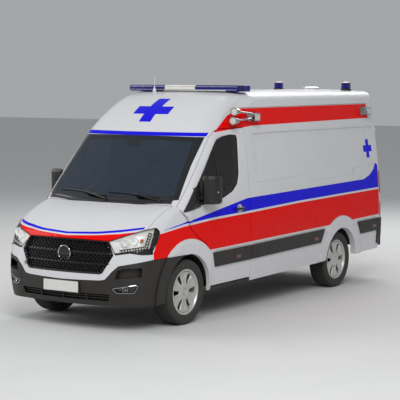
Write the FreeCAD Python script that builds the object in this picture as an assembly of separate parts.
import FreeCAD, Part
import math, os

os.makedirs("parts", exist_ok=True)
V = FreeCAD.Vector

# ------------------------------------------------------------------ sizes, mm
# Stations along the van (Y) are measured from the front axle, +Y to the rear;
# X is to the van's left and Z is up from the ground.
WHEELBASE = 3435.0
FRONT_OVERHANG = 972.0
REAR_OVERHANG = 1235.0
LENGTH = FRONT_OVERHANG + WHEELBASE + REAR_OVERHANG
TRACK = 1670.0
RAKE = 0.018            # lower body lines climb to the rear by this much

TYRE_R = 352.0
TYRE_W = 226.0
RIM_R = 242.0           # rim lip
RIM_W = 178.0
HUB_BORE_R = 34.0
HUB_GAP = 0.5
ARCH_R = 402.0
ARCH_R_REAR = 396.0
WHEEL_X = TRACK / 2

SHELL = 60.0            # a whole wall or door, inside lining to outer skin
SKIN = 30.0             # wings, bonnet and bumper skins
GAP = 6.0               # shut gap between panels
DOOR_GAP = 9.5          # and round a front door, which swings on an axis inside its edge
SEAT = 0.3              # clearance between pieces that rest on each other
GLASS = 6.0
BODY_END = WHEELBASE + 1165.0
ROOF_Z = 2492.0
ROOF_SEAM = 2302.0
SILL_Z = 318.0
DOOR_Z = 362.0
FLOOR_Z = 560.0
FLOOR_T = 60.0
DOOR_REAR = 1220.0
DOOR_TOP = 2072.0
HOOD_Z = 1000.0
SCREEN_Z = 2010.0


def sill(y):
    return SILL_Z + RAKE * y


def waist(y, z0):
    """A body line that starts at z0 on the front axle and climbs with the rake."""
    return z0 + RAKE * y


# ------------------------------------------------------------------- helpers
def face(pts):
    return Part.Face(Part.makePolygon([V(*p) for p in pts] + [V(*pts[0])]))


def prism_x(pts, x0, x1):
    return face([(x0, y, z) for y, z in pts]).extrude(V(x1 - x0, 0, 0))


def prism_y(pts, y0, y1):
    return face([(x, y0, z) for x, z in pts]).extrude(V(0, y1 - y0, 0))


def prism_z(pts, z0, z1):
    return face([(x, y, z0) for x, y in pts]).extrude(V(0, 0, z1 - z0))


def box(x0, x1, y0, y1, z0, z1):
    return Part.makeBox(x1 - x0, y1 - y0, z1 - z0, V(x0, y0, z0))


def cyl_x(r, x0, x1, y, z):
    return Part.makeCylinder(r, x1 - x0, V(x0, y, z), V(1, 0, 0))


def cyl_y(r, x, y0, y1, z):
    return Part.makeCylinder(r, y1 - y0, V(x, y0, z), V(0, 1, 0))


def cyl_z(r, x, y, z0, z1):
    return Part.makeCylinder(r, z1 - z0, V(x, y, z0), V(0, 0, 1))


def rod(r, a, b):
    a, b = V(*a), V(*b)
    return Part.makeCylinder(r, (b - a).Length, a, b - a)


def mir(s):
    return s.mirror(V(0, 0, 0), V(1, 0, 0))


def both(s):
    return [s, mir(s)]


def moved(s, x=0, y=0, z=0):
    s = s.copy()
    s.translate(V(x, y, z))
    return s


def fuse(shapes):
    s = shapes[0]
    return s.fuse(shapes[1:]) if len(shapes) > 1 else s


def revolve_x(pts, y, z):
    """Ring about an axle along X; pts are (x, radius), with arcs as 3-tuples
    (x, radius, (xm, rm)) whose last entry is a point the arc passes through."""
    edges = []
    n = len(pts)
    for i in range(n):
        a, b = pts[i], pts[(i + 1) % n]
        pa, pb = V(a[0], y, z + a[1]), V(b[0], y, z + b[1])
        if len(b) > 2:
            m = V(b[2][0], y, z + b[2][1])
            edges.append(Part.Arc(pa, m, pb).toShape())
        else:
            edges.append(Part.LineSegment(pa, pb).toShape())
    return Part.Face(Part.Wire(edges)).revolve(V(0, y, z), V(1, 0, 0), 360)


def mirrored(pts):
    """A half outline in front view made whole, left to right."""
    return [(-x, z) for x, z in reversed(pts) if x > 0] + pts


NODES = {}
SLIVER = 6000.0         # mm3; boolean remnants smaller than this are dropped


def keep(name, shapes):
    """Collects one node's solids and moves them from stations to the frame."""
    if not isinstance(shapes, (list, tuple)):
        shapes = [shapes]
    solids = []
    for s in shapes:
        solids += [q for q in s.Solids if q.Volume > SLIVER]
    moved_solids = [moved(q, 0, FRONT_OVERHANG - LENGTH / 2, 0) for q in solids]
    NODES[name] = Part.makeCompound(moved_solids) if len(moved_solids) > 1 else moved_solids[0]


# --------------------------------------------------------- body outer surface
# z, front y on the centre line, how far the front has fallen back at x_edge,
# x_edge, half-width where the corner ends, y there, half-width from the door back
LOWER = [
    (230.0, -895.0, 50.0, 560.0, 915.0, -500.0, 962.0),
    (450.0, -955.0, 60.0, 570.0, 942.0, -520.0, 990.0),
    (700.0, -943.0, 62.0, 575.0, 954.0, -530.0, 1004.0),
    (HOOD_Z, -862.0, 70.0, 580.0, 952.0, -470.0, 1000.0),
]
HOOD = [
    LOWER[-1],
    (1090.0, -765.0, 85.0, 600.0, 940.0, -360.0, 993.0),
    (1180.0, -605.0, 100.0, 640.0, 925.0, -200.0, 990.0),
    (1260.0, -350.0, 110.0, 700.0, 915.0, -30.0, 987.0),
    (1340.0, 10.0, 120.0, 760.0, 905.0, 260.0, 984.0),
]
CABIN = [
    (HOOD_Z, -475.0, 85.0, 800.0, 966.0, 50.0, 1000.0),
    (1300.0, -210.0, 85.0, 800.0, 955.0, 180.0, 984.0),
    (1650.0, 98.0, 82.0, 735.0, 912.0, 430.0, 949.0),
    (SCREEN_Z, 416.0, 78.0, 655.0, 856.0, 730.0, 897.0),
]
DOME = [
    CABIN[-1],
    (2170.0, 575.0, 78.0, 590.0, 818.0, 920.0, 871.0),
    (2310.0, 775.0, 82.0, 548.0, 796.0, 1150.0, 845.0),
    (2420.0, 1030.0, 84.0, 530.0, 782.0, 1400.0, 826.0),
    (2480.0, 1380.0, 90.0, 530.0, 765.0, 1750.0, 815.0),
    (2520.0, 1850.0, 110.0, 530.0, 750.0, 2250.0, 805.0),
]
DRIP_X, DRIP_Z = 852.0, 2292.0
ROLL_X, ROLL_Z = 813.0, 2413.0
CROWN_X, CROWN_Z = 700.0, 2469.0
REAR_CORNER = 90.0
TAPER_END = 1240.0


def ring(row, inset):
    """One level of the body as a closed wire of lines and arcs."""
    z, yf, fall, xe, hws, ys, hwm = row
    yr = BODY_END - inset
    yf, ys = yf + inset, ys + inset * 0.4
    xe, hws, hwm = xe - inset * 0.6, hws - inset, hwm - inset
    yb = max(TAPER_END, ys + 260.0)
    rc = REAR_CORNER - inset * 0.6
    k = rc * (1 - math.sqrt(0.5))
    ye = yf + fall
    # the corner arc leaves the front along its slope and lands along the side
    cx, cy = hws - 4.0, ye + (hws - xe) * 2 * fall / xe * 0.8
    mx, my = (xe + 2 * cx + hws) / 4, (ye + 2 * cy + ys) / 4
    P = {
        "fl": V(xe, ye, z), "fr": V(-xe, ye, z), "fc": V(0, yf, z),
        "sl": V(hws, ys, z), "sr": V(-hws, ys, z), "ml": V(mx, my, z), "mr": V(-mx, my, z),
        "bl": V(hwm, yb, z), "br": V(-hwm, yb, z),
        "cl": V(hwm, yr - rc, z), "cr": V(-hwm, yr - rc, z),
        "rl": V(hwm - rc, yr, z), "rr": V(-hwm + rc, yr, z),
        "kl": V(hwm - k, yr - k, z), "kr": V(-hwm + k, yr - k, z),
    }
    arc = lambda a, b, c: Part.Arc(P[a], P[b], P[c]).toShape()
    line = lambda a, b: Part.LineSegment(P[a], P[b]).toShape()
    return Part.Wire([
        arc("fr", "fc", "fl"), arc("fl", "ml", "sl"), line("sl", "bl"), line("bl", "cl"),
        arc("cl", "kl", "rl"), line("rl", "rr"), arc("rr", "kr", "cr"),
        line("cr", "br"), line("br", "sr"), arc("sr", "mr", "fr")])


STACKS = {}


def stack(rows, inset=0.0):
    """The body between a table's first and last level; each is built once."""
    key = (rows[0], rows[-1], inset)
    if key not in STACKS:
        STACKS[key] = Part.makeLoft([ring(r, inset) for r in rows], True, False)
    return STACKS[key]


def roof_mask(drop):
    """Everything under the roof skin: drip edge, corner roll and crown."""
    e = [
        Part.LineSegment(V(-1300, -1500, 100), V(1300, -1500, 100)).toShape(),
        Part.LineSegment(V(1300, -1500, 100), V(1300, -1500, DRIP_Z - drop)).toShape(),
        Part.LineSegment(V(1300, -1500, DRIP_Z - drop), V(DRIP_X - drop, -1500, DRIP_Z - drop)).toShape(),
        Part.Arc(V(DRIP_X - drop, -1500, DRIP_Z - drop), V(ROLL_X - drop, -1500, ROLL_Z - drop),
                 V(CROWN_X - drop, -1500, CROWN_Z - drop)).toShape(),
        Part.Arc(V(CROWN_X - drop, -1500, CROWN_Z - drop), V(0, -1500, ROOF_Z - drop),
                 V(-CROWN_X + drop, -1500, CROWN_Z - drop)).toShape(),
        Part.Arc(V(-CROWN_X + drop, -1500, CROWN_Z - drop), V(-ROLL_X + drop, -1500, ROLL_Z - drop),
                 V(-DRIP_X + drop, -1500, DRIP_Z - drop)).toShape(),
        Part.LineSegment(V(-DRIP_X + drop, -1500, DRIP_Z - drop), V(-1300, -1500, DRIP_Z - drop)).toShape(),
        Part.LineSegment(V(-1300, -1500, DRIP_Z - drop), V(-1300, -1500, 100)).toShape(),
    ]
    return Part.Face(Part.Wire(e)).extrude(V(0, 8000, 0))


def cut_all(s, tools):
    for t in tools:
        s = s.cut(t)
    return s


def layer(rows, out, inn):
    """A skin of the stack between two insets (negative stands proud)."""
    return stack(rows, out).cut(stack(rows, inn))


lower0 = stack(LOWER)
nose0 = lower0.fuse(stack(HOOD))
nose_in = moved(stack(LOWER, SKIN).fuse(stack(HOOD, SKIN)), 0, 0, -SKIN)
nose = nose0.cut(nose_in)

dome0 = stack(DOME).common(roof_mask(0))
cab0 = lower0.fuse([stack(CABIN), dome0])
dome_in = moved(stack(DOME, SHELL).common(roof_mask(0)), 0, 0, -SHELL)
cab_in = stack(LOWER, SHELL).fuse([stack(CABIN, SHELL), dome_in])
low_in = moved(stack(LOWER, SHELL), 0, 0, -SHELL)
cab_in = cab_in.fuse(low_in)
shell = cab0.cut(cab_in)

# ------------------------------------------------------------- panel outlines
FAR = 1300.0
GLASS_LOW_Z, GLASS_LOW_MID = 1352.0, 1322.0
GLASS_TOP_Z, GLASS_TOP_MID = 1966.0, 1985.0
GLASS_LOW_X, GLASS_TOP_X = 838.0, 742.0


def screen_outline(grow):
    g = grow
    return [(-GLASS_LOW_X - g, GLASS_LOW_Z - g), (-450, GLASS_LOW_MID + 8 - g), (0, GLASS_LOW_MID - g),
            (450, GLASS_LOW_MID + 8 - g), (GLASS_LOW_X + g, GLASS_LOW_Z - g),
            (GLASS_TOP_X + g, GLASS_TOP_Z + g), (400, GLASS_TOP_MID - 5 + g), (0, GLASS_TOP_MID + g),
            (-400, GLASS_TOP_MID - 5 + g), (-GLASS_TOP_X - g, GLASS_TOP_Z + g)]


SCREEN_BACK = 760.0
DOOR = [(-96, 1240), (-10, 1150), (60, 1030), (180, 930), (330, 850), (420, 740), (446, 600),
        (446, DOOR_Z + 8), (DOOR_REAR, DOOR_Z + 22), (DOOR_REAR, DOOR_TOP), (820, DOOR_TOP), (690, 2046),
        (590, 1980), (-96, 1268)]
DOOR_WINDOW = [(-50, 1222), (240, 1262), (700, 1320), (880, 1378), (985, 1455), (1030, 1560), (1085, 1960),
               (1070, 2000), (960, 2008), (800, 1990), (700, 1960), (626, 1900)]


def grown(pts, g):
    """Moves a closed outline outward by g, for lines of any slope."""
    n = len(pts)
    area = sum(pts[i][0] * pts[(i + 1) % n][1] - pts[(i + 1) % n][0] * pts[i][1] for i in range(n))
    sgn = 1.0 if area > 0 else -1.0
    out = []
    for i in range(n):
        (ax, ay), (bx, by), (cx, cy) = pts[i - 1], pts[i], pts[(i + 1) % n]
        ux, uy = bx - ax, by - ay
        vx, vy = cx - bx, cy - by
        lu, lv = math.hypot(ux, uy), math.hypot(vx, vy)
        n1 = (uy / lu * sgn, -ux / lu * sgn)
        n2 = (vy / lv * sgn, -vx / lv * sgn)
        d = 1 + n1[0] * n2[0] + n1[1] * n2[1]
        out.append((bx + g * (n1[0] + n2[0]) / d, by + g * (n1[1] + n2[1]) / d))
    return out


def arch_hole(y, r):
    """Wheel opening right through the body, straight below the hub line."""
    c = cyl_x(r, -FAR, FAR, y, TYRE_R + 10)
    return c.fuse(box(-FAR, FAR, y - r, y + r, 100, TYRE_R + 10))


front_arch = arch_hole(0, ARCH_R)
rear_arch = arch_hole(WHEELBASE, ARCH_R_REAR)
below_sill = prism_x([(-1500, 0), (6000, 0), (6000, sill(6000)), (-1500, sill(-1500))], -FAR, FAR)

# ---------------------------------------------------------------- front doors
DOOR_IN = 600.0


def door_solid(side_shell, outline):
    return side_shell.common(prism_x(outline, DOOR_IN, FAR))


door_blank = door_solid(shell, DOOR)
window_hole = prism_x(grown(DOOR_WINDOW, -14), DOOR_IN, FAR)
rebate = prism_x(DOOR_WINDOW, DOOR_IN, FAR)
glass_skin = layer(CABIN, 4, 4 + GLASS - SEAT)
glass_seat = layer(CABIN, -60, 4 + GLASS)
door = door_blank.cut(window_hole).cut(rebate.common(glass_seat))
door_glass = glass_skin.common(prism_x(grown(DOOR_WINDOW, -SEAT), DOOR_IN, FAR))
HANDLE_Y, HANDLE_Z = 1005.0, 1176.0
HANDLE_L, HANDLE_H = 190.0, 34.0
pocket = Part.makeSphere(58, V(1022, HANDLE_Y, HANDLE_Z))
door = door.cut(pocket)


def bar_handle(y, z, x):
    grip = box(x - 4, x + 14, y - HANDLE_L / 2, y + HANDLE_L / 2, z - HANDLE_H / 2, z + HANDLE_H / 2)
    return grip.fuse([box(x - 22, x, y + HANDLE_L / 2 - 34, y + HANDLE_L / 2 - 4, z - HANDLE_H / 2,
                          z + HANDLE_H / 2),
                      box(x - 22, x, y - HANDLE_L / 2 + 4, y - HANDLE_L / 2 + 24, z - HANDLE_H / 2,
                          z + HANDLE_H / 2)])


door = door.fuse(bar_handle(HANDLE_Y, HANDLE_Z, 996))
# triangular foot of the mirror, seated on the door's front corner
MIRROR_TRI = [(-66, 1216), (230, 1252), (215, 1430), (176, 1470)]
tri_skin = layer(CABIN, -12, 4)
tri_seat = layer(CABIN, -12, 4 + SEAT).common(prism_x(grown(MIRROR_TRI, SEAT), DOOR_IN, FAR))
door = door.cut(tri_seat)
keep("left_front_door", door)
keep("right_front_door", mir(door))
glass_cut = door_glass.cut(prism_x(grown(MIRROR_TRI, SEAT), DOOR_IN, FAR))
keep("left_door_glass", glass_cut)
keep("right_door_glass", mir(glass_cut))

MIRROR_Z0, MIRROR_Z1 = 1282.0, 1585.0
MIRROR_TAPER = 14.0
MIRROR_PLAN = [(977, 318), (975, 250), (1023, 212), (1075, 220), (1123, 272), (1147, 340), (1143, 390)]
MIRROR_FACE = [MIRROR_PLAN[0], MIRROR_PLAN[-1]]
tri = tri_skin.common(prism_x(MIRROR_TRI, DOOR_IN, FAR))


def mirror_level(z, g):
    return Part.makePolygon([V(x, y, z) for x, y in grown(MIRROR_PLAN, g) + grown(MIRROR_PLAN, g)[:1]])


head = Part.makeLoft([mirror_level(MIRROR_Z0, -MIRROR_TAPER), mirror_level(MIRROR_Z0 + 24, 0)], True, True)
middle = Part.makeLoft([mirror_level(MIRROR_Z0 + 24, 0), mirror_level(MIRROR_Z1 - 30, 0)], True, True)
crest = Part.makeLoft([mirror_level(MIRROR_Z1 - 30, 0), mirror_level(MIRROR_Z1, -MIRROR_TAPER)], True, True)
head = head.fuse([middle, crest])
# shallow seats for the two mirror glasses, upper flat one and lower wide-angle one
face_dir = V(MIRROR_FACE[1][0] - MIRROR_FACE[0][0], MIRROR_FACE[1][1] - MIRROR_FACE[0][1], 0)
face_len = face_dir.Length
face_dir.normalize()
face_out = V(-face_dir.y, face_dir.x, 0)
for z0, z1 in ((MIRROR_Z0 + 30, MIRROR_Z0 + 92), (MIRROR_Z0 + 102, MIRROR_Z1 - 24)):
    a = V(MIRROR_FACE[0][0], MIRROR_FACE[0][1], z0) + face_dir * 14 - face_out * 8
    b = a + face_dir * (face_len - 28)
    up = V(0, 0, z1 - z0)
    seat = Part.Face(Part.makePolygon([a, b, b + up, a + up, a])).extrude(face_out * 40)
    head = head.cut(seat)
arm_hi = box(925, 1010, 196, 262, 1424, 1448)
arm_lo = box(935, 1010, 196, 262, 1334, 1360)
root_blk = box(925, 966, 140, 232, 1324, 1456)
mirror = head.fuse([arm_hi.cut(cab0), arm_lo.cut(cab0), root_blk.cut(cab0), tri])
keep("left_mirror", mirror)
keep("right_mirror", mir(mirror))

# --------------------------------------------------------- cab frame and roof
door_clear = prism_x(grown(DOOR, DOOR_GAP), DOOR_IN, FAR)
door_clear = door_clear.fuse(mir(door_clear))
FRAME_LOW_Z = 1262.0
screen_clear = prism_y(screen_outline(SEAT), -900, SCREEN_BACK)
ROOF_LOW_Z = 1996.0     # where the roof rests on the pillars
front_zone = box(-FAR, FAR, -900, DOOR_REAR, FRAME_LOW_Z, ROOF_LOW_Z - SEAT)
BONNET_X0, BONNET_X1 = 850.0, 832.0
BONNET_REAR_MID, BONNET_REAR_SIDE = -238.0, -128.0
bonnet_plan = [(-BONNET_X0, -1100), (BONNET_X0, -1100), (BONNET_X0, -640), (BONNET_X1, BONNET_REAR_SIDE),
               (420, BONNET_REAR_MID + 26), (0, BONNET_REAR_MID), (-420, BONNET_REAR_MID + 26),
               (-BONNET_X1, BONNET_REAR_SIDE), (-BONNET_X0, -640)]
bonnet_room = prism_z(grown(bonnet_plan, GAP + 2), 900, 1500)
pillars = shell.common(front_zone).cut([door_clear, screen_clear, moved(nose0, 0, 0, SEAT), bonnet_room])
keep("cab_frame", pillars)

glass_front = layer(CABIN, 2, 2 + GLASS * 1.3).common(prism_y(screen_outline(0), -900, SCREEN_BACK))
glass_front = glass_front.common(box(-FAR, FAR, -900, SCREEN_BACK, 1300, 2000))
keep("windscreen", glass_front)

ROOF_BREAK = DOOR_REAR + DOOR_GAP
roof_zone = prism_x([(0, ROOF_LOW_Z), (ROOF_BREAK, ROOF_LOW_Z), (ROOF_BREAK, ROOF_SEAM),
                     (BODY_END + 50, ROOF_SEAM + 14), (BODY_END + 50, 2600), (0, 2600)], -FAR, FAR)
REAR_IN = BODY_END - SHELL
roof = shell.common(roof_zone).cut(door_clear)
keep("roof", roof)

# ---------------------------------------------------------------- side panels
SIDE_END = REAR_IN - 40
side_zone = prism_x([(ROOF_BREAK, 200), (SIDE_END, 200), (SIDE_END, ROOF_SEAM + 8),
                     (ROOF_BREAK, ROOF_SEAM - 4)],
                    500, FAR)
side_full = shell.common(side_zone)
side_full = cut_all(side_full, [rear_arch, below_sill])
RECESS = 9.0
recess_foot = [(1400, 1420), (2560, 1420), (2600, 1340), (3800, 1340), (3840, 1420), (4420, 1420)]
UPPER_RECESS = [(y, waist(y, z)) for y, z in recess_foot] + [(4420, 2036), (1400, 2004)]
recess_tool = layer(CABIN, -80, RECESS).common(prism_x(UPPER_RECESS, 500, FAR))
side_full = side_full.cut(recess_tool)
SLIDE_Y0, SLIDE_Y1 = ROOF_BREAK + 30, ROOF_BREAK + 30 + 1290.0
SLIDE_Z0, SLIDE_Z1 = DOOR_Z + 30, 2270.0
right_full = mir(side_full)
slide_out = [(SLIDE_Y0, SLIDE_Z0), (SLIDE_Y1, SLIDE_Z0), (SLIDE_Y1, SLIDE_Z1), (SLIDE_Y0, SLIDE_Z1)]
right_panel = right_full.cut(prism_x(grown(slide_out, GAP), -FAR, -500))
slide = right_full.common(prism_x(slide_out, -FAR, -500))
keep("sliding_door", slide)

# ------------------------------------------------------------------ rear end
PORTAL_Y = SIDE_END + 3
RD_X0, RD_X1 = 4.8, 846.0
RD_Z0, RD_Z1 = 628.0, 2236.0
RD_TOP_X = 780.0
RD_LEAN_Z = 1250.0
rear_door_out = [(RD_X0, RD_Z0), (RD_X1, RD_Z0), (RD_X1, RD_LEAN_Z), (RD_TOP_X, RD_Z1), (RD_X0, RD_Z1)]
rd_zone = prism_y(rear_door_out, BODY_END - SHELL - 5, BODY_END + 50)
rd_clear = prism_y(grown(rear_door_out, GAP), BODY_END - SHELL - 300, BODY_END + 50)
rd_clear = rd_clear.fuse(mir(rd_clear))
rear_wall = shell.common(box(-FAR, FAR, PORTAL_Y, BODY_END + 50, FLOOR_Z, ROOF_SEAM + 5))
LAMP_Z0, LAMP_Z1 = 828.0, 1418.0
LAMP_Y0, LAMP_X0 = BODY_END - 84, 884.0
LAMP_IN = 45.0
lamp_zone = box(LAMP_X0, FAR, LAMP_Y0, BODY_END + 60, LAMP_Z0, LAMP_Z1)
lamp = stack(CABIN, -6).fuse(stack(LOWER, -6)).cut([stack(CABIN, LAMP_IN), stack(LOWER, LAMP_IN)])
lamp = lamp.common(lamp_zone)
lamp_seat = box(LAMP_X0 - SEAT, FAR, LAMP_Y0 - SEAT, BODY_END + 60, LAMP_Z0 - SEAT, LAMP_Z1 + SEAT)
lamp_seat = lamp_seat.cut([stack(CABIN, LAMP_IN + SEAT), stack(LOWER, LAMP_IN + SEAT)])
portal = cut_all(rear_wall, [rd_clear, lamp_seat, mir(lamp_seat)])
rd_striker = box(30, 60, BODY_END - 44, BODY_END - 16, RD_Z0 - GAP - 2, RD_Z0 - SEAT)
RH_X, RH_Y, RH_R, RH_H = 862.0, BODY_END + 16, 10.0, 42.0
HINGE_Z = (770, 1352, 1935)
knuckles = []
for hz in HINGE_Z:
    for z0, z1 in ((hz + RH_H + SEAT, hz + RH_H + 20), (hz - RH_H - 20, hz - RH_H - SEAT)):
        knuckles.append(cyl_z(RH_R, RH_X, RH_Y, z0,
                              z1).fuse(box(RH_X - 6, RH_X + 6, BODY_END - 2, RH_Y, z0, z1)))
portal = portal.fuse([rd_striker, mir(rd_striker)] + knuckles + [mir(k) for k in knuckles])
keep("rear_portal", portal)
keep("tail_lamps", both(lamp))
RW = [(120, 1330), (735, 1330), (690, 1985), (120, 1985)]
rdoor = shell.common(rd_zone)
rwin_hole = prism_y(grown(RW, -14), BODY_END - 200, BODY_END + 50)
rwin = prism_y(RW, BODY_END - 200, BODY_END + 50)
rdoor_glass = box(0, 900, BODY_END - 4 - GLASS, BODY_END - 4, 1200, 2100).common(rwin)
rdoor = rdoor.cut(rwin_hole).cut(rwin.common(box(0, 900, BODY_END - 4 - GLASS, BODY_END + 60, 1200, 2100)))
hinges = []
for hz in HINGE_Z:
    barrel = cyl_z(RH_R, RH_X, RH_Y, hz - RH_H, hz + RH_H)
    lean = max(0.0, hz + 34 - RD_LEAN_Z) * (RD_X1 - RD_TOP_X) / (RD_Z1 - RD_LEAN_Z)
    edge = RD_X1 - 4 - lean
    pad = box(edge - 120, edge, BODY_END - 3, BODY_END + 13, hz - 30, hz + 30)
    strap = box(edge - 60, RH_X, BODY_END + 6, BODY_END + 13, hz - 30, hz + 30)
    hinges.append(barrel.fuse([pad, strap]))
rdoor = rdoor.fuse(hinges)
rh_grip = box(30, 66, BODY_END - 4, BODY_END + 22, 1090, 1290)
rdoor_l = rdoor.fuse(rh_grip)
keep("left_rear_door", rdoor_l)
keep("left_rear_glass", rdoor_glass)
keep("right_rear_door", mir(rdoor))
keep("right_rear_glass", mir(rdoor_glass))

# ----------------------------------------------------------- floor, bulkhead
FLOOR_W = 885.0
REAR_WELL_R = ARCH_R_REAR + 34
WELL_T = 12.0
TOE_Y = 60.0
well_x = WHEEL_X - TYRE_W / 2 - 55


def well_space(x0, r):
    """The room a rear wheel has inside the body, up from the ground."""
    c = cyl_x(r, x0, FAR, WHEELBASE, TYRE_R + 10)
    return c.fuse(box(x0, FAR, WHEELBASE - r, WHEELBASE + r, 50, TYRE_R + 10))


well_out = well_space(well_x, REAR_WELL_R)
well_in = well_space(well_x + WELL_T, REAR_WELL_R - WELL_T)
LOAD_X = LOWER[2][6] - SHELL - 2.0
inside = stack(LOWER, SHELL + SEAT)
load_floor = box(-LOAD_X, LOAD_X, ROOF_BREAK - 1, REAR_IN - 45, FLOOR_Z, FLOOR_Z + FLOOR_T).common(inside)
floor = box(-FLOOR_W, FLOOR_W, 470, ROOF_BREAK, FLOOR_Z, FLOOR_Z + FLOOR_T).fuse(load_floor)
well_box = well_out.common(box(0, FAR, 2500, 4500, FLOOR_Z - 60, 900)).common(inside).cut(well_in)
rocker = box(846, 900, 470, WHEELBASE - 480, sill(470) + 20, FLOOR_Z + 4)
step_outline = [(446, sill(446)), (ROOF_BREAK, sill(ROOF_BREAK)), (ROOF_BREAK, DOOR_Z + 10),
                (446, DOOR_Z - 2)]
step = shell.common(prism_x(step_outline, 500, FAR))
step_web = box(846, 935, 470, ROOF_BREAK, sill(470) + 20, 350)
side_members = rocker.fuse([step_web, step])
fl = cut_all(floor, [well_out, mir(well_out)])
fl = fl.fuse([well_box, mir(well_box), side_members, mir(side_members)])
cab_floor = box(-846, 846, 250, 480, FLOOR_Z, FLOOR_Z + FLOOR_T)
TOE_TOP = 1180.0
toe = prism_x([(250, FLOOR_Z), (250, FLOOR_Z + 60), (TOE_Y + 60, 760), (TOE_Y + 60, TOE_TOP),
               (TOE_Y, TOE_TOP),
               (TOE_Y, 740), (190, FLOOR_Z)], -800, 800)
fl = fl.fuse([cab_floor, toe])
arch_room = arch_hole(0, ARCH_R + 16)
wheel_room = arch_room.common(box(480, FAR, -900, 900, 0, 900))
fl = fl.cut([wheel_room, mir(wheel_room)])
keep("floor_pan", fl)

BULK_Y, BULK_T = 1322.0, 30.0
trim = SHELL + 1.0
under_dome = moved(stack(DOME, trim).common(roof_mask(0)), 0, 0, -trim)
cab_trim = fuse([stack(LOWER, trim), stack(CABIN, trim), under_dome])
bulk = cab_trim.common(box(-FAR, FAR, BULK_Y, BULK_Y + BULK_T, FLOOR_Z + FLOOR_T + SEAT, 2600))
bulk = bulk.cut(box(-320, 320, BULK_Y - 10, BULK_Y + BULK_T + 10, 1320, 1760))
keep("bulkhead", bulk)

# ------------------------------------------------------- nose: outlines (x, z)
GRILLE = [(470, 606), (500, 622), (606, 806), (552, 898), (512, 946), (250, 951)]
LAMP_FRONT = [(526, 944), (698, 1006), (830, 1060), (905, 1082), (1100, 1082), (1100, 818), (870, 820),
              (776, 838),
              (628, 814), (578, 872)]
LAMP_SIDE = [(-1200, 700), (-622, 790), (-615, 856), (-548, 940), (-494, 1042), (-506, 1078), (-1200, 1100)]
COVER_LOW = [(0, 534), (203, 538), (470, 546), (528, 556), (604, 640), (676, 702), (858, 740), (935, 760),
             (1100, 764)]
BONNET_LOW = [(0, 958), (250, 957), (530, 953), (698, 1012), (832, 1067), (900, 1090)]
COVER_END = -608.0
BUMPER_END = -60.0      # the bumper runs back round the wheel arch to here, under the wing's flare
CHIN_Z = 276.0


def front_prism(pts, y0=-1100.0, y1=-380.0):
    return prism_y(pts, y0, y1)


grille_whole = mirrored(GRILLE)
lamp_one = front_prism(LAMP_FRONT).common(prism_x(LAMP_SIDE, 0, FAR))
cover_region = front_prism(mirrored(COVER_LOW) + [(1100, 1100), (-1100, 1100)], -1100, COVER_END)
bumper_top_line = mirrored([(x, z - SEAT) for x, z in COVER_LOW])
bumper_region = front_prism([(-1100, 200)] + bumper_top_line + [(1100, 200)], -1100, BUMPER_END)
bonnet_region = front_prism(mirrored(BONNET_LOW) + [(900, 1500), (-900, 1500)], -1100, 300)
bonnet_prism = prism_z(bonnet_plan, 900, 1500)
bonnet = nose.common(bonnet_region).common(bonnet_prism)
SLAM_Z, SLAM_Y = 940.0, -770.0
BUFFER_X, BUFFER_R, BUFFER_TOP = 300.0, 16.0, 1020.0
boss = cyl_z(BUFFER_R, BUFFER_X, SLAM_Y + 30, BUFFER_TOP + SEAT, 1110).common(nose0)
bonnet = bonnet.fuse([boss, mir(boss)])
keep("bonnet", bonnet)

lamp_clear = front_prism(grown(LAMP_FRONT, SEAT)).common(prism_x(grown(LAMP_SIDE, SEAT), 0, FAR))
LAMP_DEPTH = 110.0
deep_in = moved(stack(LOWER, LAMP_DEPTH).fuse(stack(HOOD, LAMP_DEPTH)), 0, 0, -40)
headlamp = nose0.cut(deep_in).common(lamp_one).common(box(0, FAR, -1100, -400, 0, 2000))
keep("headlamps", both(headlamp))

grille_prism = front_prism(grille_whole, -1100, -700)
grille_hole = front_prism(grown(grille_whole, SEAT), -1100, -700)
bonnet_line = mirrored([(x, z - GAP) for x, z in BONNET_LOW])
bonnet_clear = front_prism(bonnet_line + [(1100, 1600), (-1100, 1600)], -1200, 300)
cover = nose.common(cover_region).cut([grille_hole, lamp_clear, mir(lamp_clear), bonnet_clear])
keep("grille_surround", cover)

grille_layer = layer(LOWER, 26, 44).common(grille_prism)
slots = []
ROW_H, ROW_GAP = 42.0, 15.0
ROWS, COLUMNS, SLOT_GAP = 5, 6, 14.0
for i in range(ROWS):
    z0 = 626 + i * (ROW_H + ROW_GAP)
    half_width = 430 + 0.52 * (z0 - 600) if z0 < 800 else 530 - 0.25 * (z0 - 800)
    pitch = (half_width - 8) / COLUMNS
    for k in range(COLUMNS):
        slots += both(box(8 + k * pitch, 8 + (k + 1) * pitch - SLOT_GAP, -1100, -700, z0, z0 + ROW_H))
grille = grille_layer.cut(slots)
rim_hole = front_prism(grown(grille_whole, -16), -1150, -650)
rim_band = layer(LOWER, 4, 44).common(grille_prism.cut(rim_hole))
EMBLEM_Z = 800.0
emblem = layer(LOWER, 4, 30).common(Part.makeCylinder(82, 600, V(0, -1100, EMBLEM_Z), V(0, 1, 0)))
grille = grille.fuse([rim_band, emblem])
keep("grille", grille)

FLARE_R, FLARE_OUT = 560.0, 15.0
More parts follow.
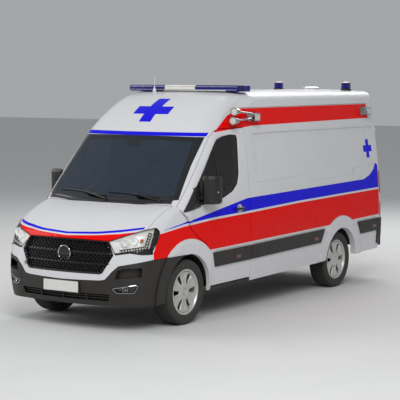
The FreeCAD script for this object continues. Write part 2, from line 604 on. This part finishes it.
# dark lower bumper with its two recesses, fog lamps and the bare plate
RECESS_OUT = [(664, 652), (752, 682), (880, 684), (880, 590), (648, 566)]
FOG = [(604, 470), (862, 518), (828, 420), (662, 416)]
INTAKE = [(-560, 330), (560, 330), (575, 402), (-575, 402)]
flare_ring = layer(LOWER, -FLARE_OUT, SKIN).common(cyl_x(FLARE_R, 700, FAR, 0, TYRE_R + 10))
bumper_flare = flare_ring.common(bumper_region)
bumper = nose.common(bumper_region).fuse([bumper_flare, mir(bumper_flare)])
under_chin = box(-FAR, FAR, -1500, 600, 0, CHIN_Z)
behind = box(-FAR, FAR, BUMPER_END, 600, 0, 1000)
bumper = cut_all(bumper, [under_chin, behind, front_arch])
for half in (RECESS_OUT, FOG):
    hole = front_prism(half, -1100, -560)
    bumper = bumper.cut([hole, mir(hole)])
rec_back = layer(LOWER, 56, 68)
pan_prism = front_prism(grown(RECESS_OUT, 14), -1100, -560)
pan = rec_back.common(pan_prism)
pan_rim = layer(LOWER, SKIN - 6, 68).common(pan_prism.cut(front_prism(RECESS_OUT, -1200, -500)))
intake = front_prism(INTAKE, -1100, -760)
bumper = bumper.cut(intake)
intake_back = layer(LOWER, 50, 62).common(front_prism(grown(INTAKE, 14), -1100, -700))
bars = [layer(LOWER, 20, 52).common(box(-590, 590, -1100, -700, z, z + 8)) for z in (352, 378)]
ribs = [layer(LOWER, 10, 52).common(box(x - 6, x + 6, -1100, -700, 322, 410)) for x in (-300, 0, 300)]
ends = layer(LOWER, SKIN - 6, 60).common(front_prism(grown(INTAKE, 14), -1100, -700).cut(intake))
PLATE_W, PLATE_H, PLATE_T, PLATE_Z, PLATE_EDGE = 455.0, 112.0, 8.0, 462.0, 8.0
PLATE_Y = -FRONT_OVERHANG + PLATE_T
half_w, half_h = PLATE_W / 2, PLATE_H / 2
plate = box(-half_w, half_w, -FRONT_OVERHANG, PLATE_Y, PLATE_Z - half_h, PLATE_Z + half_h)
plate_back = box(-half_w - PLATE_EDGE, half_w + PLATE_EDGE, PLATE_Y, -905,
                 PLATE_Z - half_h - PLATE_EDGE, PLATE_Z + half_h + PLATE_EDGE)
plate_back = plate_back.cut(nose_in.cut(layer(LOWER, 10, 40)))
bumper = bumper.fuse([pan, mir(pan), pan_rim, mir(pan_rim), plate_back, intake_back, ends] + bars + ribs)
keep("front_bumper", bumper)
keep("number_plate", plate)
fog = layer(LOWER, 6, 60).common(front_prism(grown(FOG, -SEAT), -1100, -560))
keep("fog_lamps", both(fog))

# wings with a rolled wheel-arch flare
wing_y0, wing_y1 = COVER_END + SEAT, DOOR[0][0] - DOOR_GAP
wing_outline = [(wing_y0, 300), (wing_y0, 1500), (wing_y1, 1500), (wing_y1, 1290)]
wing_zone = prism_x(wing_outline + grown(DOOR, DOOR_GAP)[1:8] + [(440, sill(440))], 0, FAR)
beside_bonnet = prism_z([(BONNET_X0 + GAP, -1100), (FAR, -1100), (FAR, 700), (BONNET_X1 + GAP, 700),
                         (BONNET_X1 + GAP, BONNET_REAR_SIDE), (BONNET_X0 + GAP, -640)], 0, 1500)
wing = nose.common(wing_zone).common(beside_bonnet)
bumper_top = box(0, FAR, -1100, BUMPER_END + SEAT, 0, COVER_LOW[-1][1])
flare = flare_ring.common(box(0, FAR, -600, 418, 345, 1000))
wing = wing.fuse(flare).cut([lamp_clear, bumper_top, front_arch, below_sill, cab_in])
wing = wing.cut(prism_x(grown(DOOR, DOOR_GAP), 0, FAR))
LINER_X = WHEEL_X - TYRE_W / 2
liner = cyl_x(ARCH_R + 12, LINER_X, 940, 0, TYRE_R + 10).cut(cyl_x(ARCH_R, 600, 1000, 0, TYRE_R + 10))
liner = liner.common(box(0, FAR, -500, 500, 420, 900)).common(nose0)
liner = liner.cut(box(0, FAR, -1000, -ARCH_R + 14, 0, 800))
keep("front_wings", both(wing))
keep("arch_liners", both(liner.cut([wing, bumper])))

# black cowl under the screen, with the two wiper arms lying on the glass
cowl_plan = [(-820, BONNET_REAR_SIDE + GAP), (-420, BONNET_REAR_MID + 26 + GAP), (0, BONNET_REAR_MID + GAP),
             (420, BONNET_REAR_MID + 26 + GAP), (820, BONNET_REAR_SIDE + GAP), (820, 60), (-820, 60)]
cowl_room = prism_z(cowl_plan, 1100, 1400)
cowl = stack(HOOD).common(cowl_room).cut(moved(stack(HOOD), 0, 0, -34)).cut(stack(CABIN, -SEAT))
strip_low = [(-GLASS_LOW_X, GLASS_LOW_Z - 4), (-450, GLASS_LOW_MID + 4), (0, GLASS_LOW_MID - 4),
             (450, GLASS_LOW_MID + 4), (GLASS_LOW_X, GLASS_LOW_Z - 4), (GLASS_LOW_X, 1210),
             (-GLASS_LOW_X, 1210)]
sill_strip = layer(CABIN, -9, -SEAT).common(prism_y(strip_low, -900, 300)).common(cowl_room)
cowl = cowl.fuse(sill_strip)
keep("cowl", cowl)


def on_screen(x, z, out):
    """A point standing `out` in front of the glass at height z."""
    k = (z - CABIN[1][0]) / (CABIN[2][0] - CABIN[1][0])
    yf = CABIN[1][1] + k * (CABIN[2][1] - CABIN[1][1])
    fall = CABIN[1][2] * (x / CABIN[1][3]) ** 2
    return (x, yf + fall - out * 0.75, z + out * 0.6)


wipers = []
for px, tip_x in ((690, 40), (20, -650)):
    a = on_screen(px, 1318, 20)
    m = on_screen(px - (px - tip_x) * 0.45, 1372, 24)
    b0 = on_screen(px - 30, 1352, 13)
    b1 = on_screen(tip_x - 30, 1392, 13)
    b2 = on_screen((px - 30 + tip_x - 30) / 2, 1380, 13)
    pivot = Part.makeCylinder(17, 46, V(a[0], a[1] + 14, a[2] - 30), V(0, -0.6, 0.8))
    wiper = fuse([pivot, rod(10, a, m), rod(7, b0, b2), rod(7, b2, b1), rod(8, m, b2)])
    wipers.append(cut_all(wiper, [cowl, pillars, glass_front]))
keep("wipers", wipers)

# ------------------------------------------------------- mouldings, bumpers
MOULD_Z0, MOULD_Z1, MOULD_T = 566.0, 727.0, 14.0
mould_skin = layer(LOWER, -MOULD_T, -SEAT)


def mould(y0, y1, lean0=0.0, lean1=0.0):
    z0, z1 = MOULD_Z0, MOULD_Z1
    pts = [(y0 + lean0, waist(y0, z0)), (y1 + lean1, waist(y1, z0)), (y1, waist(y1, z1)),
           (y0, waist(y0, z1))]
    return mould_skin.common(prism_x(pts, 600, FAR))


ahead = prism_x([(300, 400), (300, 1000), (456, 742), (500, 560)], 0, FAR)
door_mould = mould(456, DOOR_REAR).common(prism_x(DOOR, 0, FAR)).cut(ahead)
keep("left_door_moulding", door_mould)
keep("right_door_moulding", mir(door_mould))
m1 = mould(ROOF_BREAK, 2975, 0, -95)
m2 = mould(3868, 4428, 96, 0)
slide_mould = mould(SLIDE_Y0, SLIDE_Y1)
m1_right = mir(m1).cut(box(-FAR, 0, SLIDE_Y0 - GAP, SLIDE_Y1 + GAP, 500, 900))
keep("side_mouldings", [m1, m2, m1_right, mir(m2), mir(slide_mould)])
REAR_FLARE_R = 545.0
rear_flare = layer(LOWER, -FLARE_OUT, 0).common(cyl_x(REAR_FLARE_R, 700, FAR, WHEELBASE, TYRE_R + 10))
rear_flare = rear_flare.cut(rear_arch).common(box(0, FAR, 2500, 4400, sill(WHEELBASE) + 4, 1000))
mould_clear = mould(ROOF_BREAK, 2975 + 3, 0, -95).fuse(mould(3868 - 3, 4428, 96, 0))
rear_flare = rear_flare.cut(mould_clear)
STRIKER_Z = 1100.0
striker = box(950, 976, DOOR_REAR + SEAT, ROOF_BREAK + 2, STRIKER_Z - 15, STRIKER_Z + 15)
keep("left_side_panel", side_full.fuse([rear_flare, striker]))
keep("right_side_panel", right_panel.fuse([mir(rear_flare), mir(striker)]))

RB_Y1 = WHEELBASE + REAR_OVERHANG
RB_Z0, RB_Z1 = 436.0, 588.0
rb_half = [(1000, 4560), (960, RB_Y1 - 38), (880, RB_Y1 - 6), (700, RB_Y1)]
rb_plan = [(985, 4470)] + rb_half + [(-x, y) for x, y in reversed(rb_half)] + [(-985, 4470)]
rb_low = prism_z(rb_plan, RB_Z0, RB_Z1).cut(stack(LOWER, -SEAT))
step_pad = box(-430, 430, RB_Y1 - 60, RB_Y1 - 8, RB_Z1, RB_Z1 + 10)
cap = layer(LOWER, -14, -SEAT).common(box(LAMP_X0, FAR, 4434, BODY_END + 20, 470, 806))
rear_bumper = fuse([rb_low, step_pad, cap, mir(cap)])
keep("rear_bumper", rear_bumper)

# --------------------------------------------------------- lights on the roof
BAR_X, BAR_Y0, BAR_Y1 = 800.0, 1318.0, 1580.0
BAR_Z0, BAR_Z1 = 2496.0, 2553.0
bar_half = [(BAR_X - 50, BAR_Y0), (BAR_X, BAR_Y0 + 60), (BAR_X, BAR_Y1 - 60), (BAR_X - 50, BAR_Y1)]
bar_body = prism_z(bar_half + [(-x, y) for x, y in reversed(bar_half)], BAR_Z0, BAR_Z1)
feet = [box(x - 40, x + 40, BAR_Y0 + 50, BAR_Y1 - 50, 2380, BAR_Z0 + 2) for x in (-600, 600)]
on_roof = moved(cab0, 0, 0, SEAT)
feet = [q.cut(on_roof) for q in feet]
keep("light_bar", bar_body.fuse(feet))
BEACON_X, BEACON_Y, BEACON_R, BEACON_H = 515.0, 4450.0, 66.0, 92.0
BEACON_Z = 2500.0
beacon_base = cyl_z(BEACON_R + 4, BEACON_X, BEACON_Y, 2440, BEACON_Z - SEAT).cut(on_roof)
beacon_top = cyl_z(BEACON_R, BEACON_X, BEACON_Y, BEACON_Z, BEACON_Z + BEACON_H)
beacon_rim = [e for e in beacon_top.Edges if e.BoundBox.ZMin > BEACON_Z + BEACON_H - 1]
beacon_top = beacon_top.makeChamfer(10, beacon_rim)
keep("beacons", both(beacon_base) + both(beacon_top))
VENT_Y = 4420.0
vent = Part.makeCylinder(110, 26, V(0, VENT_Y, ROOF_Z - 6)).cut(on_roof)
lid = Part.makeCone(122, 80, 18, V(0, VENT_Y, ROOF_Z + 19))
AERIAL_X, AERIAL_Y, AERIAL_FOOT, AERIAL_TOP = -375.0, 1280.0, 2490.0, 2640.0
foot = cyl_z(22, AERIAL_X, AERIAL_Y, 2440, AERIAL_FOOT + 1).cut(on_roof)
cone = Part.makeCone(22, 8, 34, V(AERIAL_X, AERIAL_Y, AERIAL_FOOT))
aerial = fuse([foot, cone, cyl_z(4, AERIAL_X, AERIAL_Y, AERIAL_FOOT + 30, AERIAL_TOP)])
keep("roof_fittings", [vent.fuse(lid), aerial])


def wedge(y, z):
    """Slanted floodlight housing on the side of the roof, facing outward."""
    back = [(0, -62), (190, -62), (190, 62), (0, 62), (0, -62)]
    front = [(30, -50), (165, -56), (165, 34), (30, 28), (30, -50)]
    ends = [Part.makePolygon([V(x, y + dy, z + dz) for dy, dz in pts])
            for x, pts in ((828, back), (948, front))]
    return Part.makeLoft(ends, True, True).cut(cab0)


w_front = wedge(1340, 2200)
w_rear = wedge(4180, 2222)
rounds = []
for rz, ry in ((2262, 1010), (2160, 985)):
    can = Part.makeCone(34, 44, 96, V(925, ry + 40, rz), V(0.12, -1, 0))
    arm = rod(11, (925, ry + 40, rz), (905, 1400, (rz + 2200) / 2)).cut(cab0)
    stem = rod(13, (820, ry + 60, rz), (925, ry + 52, rz)).cut(cab0)
    rounds.append(fuse([can, arm, stem]))
keep("scene_lamps", [fuse([w_front] + rounds), w_rear, mir(w_rear)])

# -------------------------------------------------------------------- wheels
def tyre(x, y):
    w, r, ri = TYRE_W / 2, TYRE_R, RIM_R - 7
    bead = RIM_W / 2 - 3
    half = [(bead, ri), (bead, ri + 17), (w - 9, ri + 30), (w, ri + 60), (w - 5, r - 26), (w - 22, r - 5),
            (w * 0.45, r)]
    prof = half + [(-px, pr) for px, pr in reversed(half)]
    return moved(revolve_x(prof, y, TYRE_R), x, 0, 0)


SPOKES = 6
SPOKE_IN, SPOKE_OUT = 26.0, 58.0      # half-widths at the hub and at the rim
NUTS, NUT_R, NUT_CIRCLE = 6, 11.0, 58.0


def spoke(y, zc, ri):
    """One spoke, standing straight up from the hub."""
    ends = []
    for half, z, x0, x1 in ((SPOKE_IN, zc + 60, 40, 88), (SPOKE_OUT, zc + ri - 18, 54, 80)):
        ends.append(Part.makePolygon([V(x0, y - half, z), V(x0, y + half, z), V(x1, y + half - 4, z),
                                      V(x1, y - half + 4, z), V(x0, y - half, z)]))
    return Part.makeLoft(ends, True, True)


def rim(x, y):
    """Cast wheel, outer face towards +X, made at x = 0 and turned for the right."""
    zc = TYRE_R
    ri = RIM_R - 7
    half = RIM_W / 2
    lip = RIM_R + 6
    barrel = [(-half - 8, ri), (-half - 8, lip), (-half, lip), (-half + 3, ri), (half - 3, ri), (half, lip),
              (half + 8, lip), (half + 8, ri - 2), (half - 10, ri - 14), (20, ri - 34), (-half + 20, ri - 34)]
    s = revolve_x(barrel, y, zc)
    disc = cyl_x(92, 26, 88, y, zc)
    bore = cyl_x(HUB_BORE_R + HUB_GAP, 20, 76, y, zc)
    spokes = []
    for i in range(SPOKES):
        one = spoke(y, zc, ri)
        one.rotate(V(0, y, zc), V(1, 0, 0), 360.0 * i / SPOKES)
        spokes.append(one)
    s = s.fuse([disc] + spokes).cut(bore)
    for i in range(NUTS):
        t = math.radians(360.0 * (i + 0.5) / NUTS)
        s = s.cut(cyl_x(NUT_R, 76, 110, y + NUT_CIRCLE * math.cos(t), zc + NUT_CIRCLE * math.sin(t)))
    return moved(s, x, 0, 0)


for tag, wy in (("front", 0.0), ("rear", WHEELBASE)):
    r = rim(WHEEL_X, wy)
    t = tyre(WHEEL_X, wy)
    keep("left_%s_rim" % tag, r)
    keep("right_%s_rim" % tag, mir(r))
    keep("left_%s_tyre" % tag, t)
    keep("right_%s_tyre" % tag, mir(t))

# ------------------------------------------------- knuckles, axles, suspension
KING_X = WHEEL_X - 78.0
STRUT_X, STRUT_Y = WHEEL_X - TYRE_W / 2 - 62, -20.0
BALL_Z = 272.0          # where the knuckle stands on the lower arm's ball pin
STEER_ARM = 108.0
TIE_CLEAR = 28.0        # caliper and its bracket stay this high, over the tie rod


DISC_R, FLANGE_R = 148.0, 72.0


def stub(y):
    s = cyl_x(HUB_BORE_R, WHEEL_X - 60, WHEEL_X + 74, y, TYRE_R)
    flange = cyl_x(FLANGE_R, WHEEL_X + 8, WHEEL_X + 25.2, y, TYRE_R)
    disc = cyl_x(DISC_R, WHEEL_X - 12, WHEEL_X + 8, y, TYRE_R)
    return s.fuse([flange, disc])


knuckle = stub(0).fuse([box(WHEEL_X - 74, WHEEL_X - 34, -42, 42, TYRE_R - 76, TYRE_R + 130),
                        box(WHEEL_X - 50, WHEEL_X + 12, 96, 168, TYRE_R - TIE_CLEAR, TYRE_R + 88),
                        box(WHEEL_X - 60, WHEEL_X - 36, 30, 130, TYRE_R - TIE_CLEAR, TYRE_R + 60),
                        cyl_z(20, KING_X, 0, BALL_Z + SEAT, BALL_Z + 30),
                        rod(9, (WHEEL_X - 60, 20, TYRE_R - 20), (KING_X - 20, STEER_ARM, TYRE_R - 20))])
keep("left_knuckle", knuckle)
keep("right_knuckle", mir(knuckle))

# strut, lower arm, subframe, rack
SUB_Z = 250.0
arm = prism_z([(KING_X + 20, -30), (KING_X + 20, 30), (380, 150), (330, 150), (330, -90), (380, -90)],
              SUB_Z - 20, SUB_Z + 12)
strut = fuse([cyl_z(26, STRUT_X, STRUT_Y, TYRE_R + 140, 740), cyl_z(54, STRUT_X, STRUT_Y, 726, 872)])
ball = cyl_z(16, KING_X, 0, SUB_Z + 8, BALL_Z)
rack = cyl_x(24, -430, 430, 160, SUB_Z + 60)
tie = rod(9, (430, 160, SUB_Z + 60), (KING_X - 20, STEER_ARM, TYRE_R - 20 - 26))
side_beam = box(300, 370, -130, 220, SUB_Z - 24, SUB_Z + 40)
subframe = fuse([box(-350, 350, -130, -40, SUB_Z - 24, SUB_Z + 40),
                 box(-350, 350, 120, 220, SUB_Z - 24, SUB_Z + 50),
                 rack] + both(side_beam) + both(arm) + both(tie) + both(ball))
keep("front_suspension", [subframe] + both(strut))

# ladder frame: each rail with what is welded to it, and members seated between them
RAIL_X, RAIL_W, RAIL_H = 400.0, 70.0, 110.0
RAIL_Z = FLOOR_Z - RAIL_H
RAIL_Y0, RAIL_Y1 = -780.0, BODY_END - 60
CRASH_Y = -805.0
CROSS_Y = (-760, 620, 1500, 2450, 4200)
RIGGER_Y = (700, 1600, 2385)
HANG_Y = (-120, 130)
JACK_Y, JACK_L, JACK_H = (450, 2620), 80.0, 12.0
POST_Z = 520.0


def rail():
    """Left rail with its crash leg, subframe hangers and jack pads."""
    x0, x1 = RAIL_X, RAIL_X + RAIL_W
    bits = [box(x0, x1, RAIL_Y0, RAIL_Y1, RAIL_Z, FLOOR_Z),
            box(x0, x1, CRASH_Y + SEAT, RAIL_Y0 + 5, RAIL_Z, 540)]
    for y in JACK_Y:
        bits.append(box(x0 + 5, x1 - 5, y - JACK_L / 2, y + JACK_L / 2, RAIL_Z - JACK_H, RAIL_Z + 1))
    for y in HANG_Y:
        bits.append(box(305, x0 + 20, y, y + 70, RAIL_Z, RAIL_Z + 40))
        bits.append(box(305, 365, y, y + 70, SUB_Z + 36, RAIL_Z + 40))
    return fuse(bits)


tower = fuse([box(600, 722, -110, TOE_Y - 6, 872, 900), box(560, 601, -110, TOE_Y - 6, POST_Z, 900),
              box(RAIL_X + RAIL_W + SEAT, 601, -110, TOE_Y - 6, POST_Z, POST_Z + 36)])
between = RAIL_X - SEAT
outside = RAIL_X + RAIL_W + SEAT
members = [box(-between, between, y, y + 60, RAIL_Z + 30, FLOOR_Z - 10) for y in CROSS_Y]
for y in RIGGER_Y:
    members.append(box(-between, between, y, y + 50, RAIL_Z + 40, FLOOR_Z))
    members += both(box(outside, 846, y, y + 50, RAIL_Z + 40, FLOOR_Z))
members.append(box(-520, 520, CRASH_Y - 40, CRASH_Y, RAIL_Z - 10, RAIL_Z + 90))
members.append(box(-700, 700, RAIL_Y1 + SEAT, BODY_END - 2, RAIL_Z + 20, FLOOR_Z - 5))
TOW_HOLE_R, TOW_HOLE_L, TOW_Y = 6.5, 40.0, (4370.0, 4490.0)
tow_holes = [cyl_z(TOW_HOLE_R, RAIL_X + RAIL_W / 2, y, RAIL_Z - 1, RAIL_Z + TOW_HOLE_L) for y in TOW_Y]
rails = both(cut_all(rail(), [subframe] + tow_holes))
frame_solids = rails + both(tower.cut(subframe)) + members
frame = Part.makeCompound(frame_solids)
keep("chassis_frame", frame_solids)

# live axle, turned in one piece: stubs, brake discs, hub flanges, tube and differential
AXLE_R, DIFF_R, DIFF_X = 48.0, 150.0, 130.0
AXLE_HALF = [(WHEEL_X + 74, HUB_BORE_R), (WHEEL_X + 25.2, HUB_BORE_R), (WHEEL_X + 25.2, FLANGE_R),
             (WHEEL_X + 8, FLANGE_R), (WHEEL_X + 8, DISC_R), (WHEEL_X - 12, DISC_R), (WHEEL_X - 12, AXLE_R),
             (DIFF_X, AXLE_R), (DIFF_X, math.sqrt(DIFF_R ** 2 - DIFF_X ** 2))]
other_half = [(-x, r) for x, r in reversed(AXLE_HALF)]
other_half[0] = (*other_half[0], (0.0, DIFF_R))
axle_line = [(WHEEL_X + 74, 0.0)] + AXLE_HALF + other_half + [(-WHEEL_X - 74, 0.0)]
rear_axle = revolve_x(axle_line, WHEELBASE, TYRE_R)
keep("rear_axle", rear_axle)
PROP_R = 38.0
prop = cyl_y(PROP_R, 0, 766, WHEELBASE - 130, TYRE_R + 30)
prop = prop.cut(Part.makeSphere(DIFF_R + SEAT, V(0, WHEELBASE, TYRE_R)))
keep("propeller_shaft", prop)

# left spring: leaf with its two eyes pinned beside the rail, and the damper
SPRING_X = RAIL_X + RAIL_W / 2 + 70
SPRING_W, EYE_R, EYE_Z = 32.0, 28.0, 452.0
LEAF = [(-640, 440), (-300, 350), (0, 296), (330, 350), (690, 440), (690, 452), (330, 372), (0, 330),
        (-300, 372),
        (-640, 452)]
axle_seat = cyl_x(AXLE_R + SEAT, -WHEEL_X, WHEEL_X, WHEELBASE, TYRE_R)
leaf = prism_x([(WHEELBASE + y, z) for y, z in LEAF], SPRING_X - SPRING_W, SPRING_X + SPRING_W)
eyes = [cyl_x(EYE_R, outside, SPRING_X + SPRING_W + 2, WHEELBASE + y, EYE_Z) for y in (-650, 700)]
spring = fuse([leaf] + eyes).cut([axle_seat, frame])
damper = rod(24, (SPRING_X - 60, WHEELBASE - 60, 380), (SPRING_X - 95, WHEELBASE - 220, 555))
damper = damper.cut([axle_seat, frame, fl])
keep("rear_springs", both(spring) + both(damper))

engine = box(-300, 300, -560, TOE_Y - 10, 480, 1010).cut([frame, subframe])
gearbox = box(-170, 170, TOE_Y - 20, 700, 400, 545).fuse(cyl_y(80, 0, 690, 765, TYRE_R + 60))
slam = box(-420, 420, SLAM_Y - 22, SLAM_Y + 80, SLAM_Z - 30, SLAM_Z)
buffers = [cyl_z(BUFFER_R, x, SLAM_Y + 30, SLAM_Z - 5, BUFFER_TOP) for x in (-BUFFER_X, BUFFER_X)]
radiator = fuse([box(-between, between, -760, -690, 470, SLAM_Z - 20), slam] + buffers).cut(frame)
keep("engine", [engine.fuse(gearbox.cut([frame, subframe, fl])), radiator])
PIPE_R = 32.0
pipe = fuse([rod(PIPE_R, (250, 300, 400), (250, 1500, 400)),
             rod(PIPE_R, (250, 2100, 400), (250, 2900, 400)),
             cyl_y(95, 250, 1480, 2120, 400), rod(PIPE_R, (250, 2890, 400), (300, 3050, 440)),
             rod(30, (300, 3040, 440), (300, 4480, 430)), rod(14, (250, 1800, 480),
                                                              (250, 1800, FLOOR_Z + 2)),
             rod(14, (300, 4060, 440), (300, 4060, FLOOR_Z + 2)), rod(PIPE_R, (250, 310, 400),
                                                                      (160, 180, 500))])
pipe = pipe.cut([frame, fl, engine, gearbox, rear_axle])
keep("exhaust", pipe)
tank = box(-800, -500, 1680, 2380, 300, 520)
tank = tank.makeFillet(40, [e for e in tank.Edges if abs(e.tangentAt(e.FirstParameter).y) > 0.9])
straps = [box(-812, -488, y, y + 40, 292, FLOOR_Z) for y in (1780, 2260)]
keep("fuel_tank", fuse([tank] + straps).cut([frame, fl]))

# ----------------------------------------------------------------- cab inside
TOE_BACK = TOE_Y + 60 + SEAT
dash = prism_x([(70, 1200), (150, 1265), (420, 1240), (470, 1120), (430, 980), (330, 760), (250, 700),
                (TOE_BACK, 740), (TOE_BACK, TOE_TOP + SEAT), (70, TOE_TOP + SEAT)], -880, 880)
dash = dash.common(stack(CABIN, SHELL + 14).fuse(stack(LOWER, SHELL + 14))).cut([fl, arch_room])
cluster_hood = box(240, 560, 250, 400, 1240, 1300)
console = box(-130, 130, 300, 560, 640, 1000)
dash = dash.fuse([console, cluster_hood]).cut(fl)
keep("dashboard", dash)
SW_X, SW_Y, SW_Z, SW_R = 400.0, 560.0, 1180.0, 198.0
tilt = V(0, 0.62, 0.78)
ring_mid = V(SW_X, SW_Y, SW_Z)
ring_pts = []
for k in range(6):
    t = math.radians(60 * k)
    ring_pts.append(ring_mid + V(SW_R + 16 * math.cos(t), 0, 0) + tilt * (16 * math.sin(t)))
wheel_ring = Part.Face(Part.makePolygon(ring_pts + ring_pts[:1])).revolve(ring_mid, tilt, 360)
sw_hub = Part.makeCylinder(62, 34, V(SW_X, SW_Y - 12, SW_Z - 16), tilt)
down_dir = V(0, 0.78, -0.62)
spk = [Part.makeCylinder(12, SW_R - 4, V(SW_X, SW_Y, SW_Z), V(q, 0, 0)) for q in (1, -1)]
spk.append(Part.makeCylinder(12, SW_R - 4, V(SW_X, SW_Y, SW_Z), down_dir))
column = Part.makeCylinder(26, 190, V(SW_X, SW_Y, SW_Z), V(0, -0.62, -0.78))
keep("steering_wheel", fuse([wheel_ring, sw_hub, column] + spk).cut(dash))
seats = []
for sx in (400.0, -400.0):
    w = 240
    base = prism_x([(760, 900), (770, 990), (1240, 965), (1250, 870), (1180, 850), (800, 850)], sx - w,
                   sx + w)
    back = prism_x([(1170, 960), (1265, 930), (1318, 1560), (1250, 1600), (1210, 1560)], sx - w + 10,
                   sx + w - 10)
    head_r = prism_x([(1235, 1630), (1305, 1620), (1312, 1800), (1250, 1815)], sx - 120, sx + 120)
    stem = box(sx - 60, sx - 48, 1262, 1274, 1580, 1640).fuse(box(sx + 48, sx + 60, 1262, 1274, 1580, 1640))
    plinth = box(sx - 200, sx + 200, 800, 1200, FLOOR_Z + FLOOR_T, 860)
    seats.append(fuse([base, back, head_r, stem, plinth]).cut(bulk))
keep("seats", seats)

for name, shape in NODES.items():
    shape.exportStep("parts/%s.step" % name)
    print(name, len(shape.Solids), len(shape.Faces))
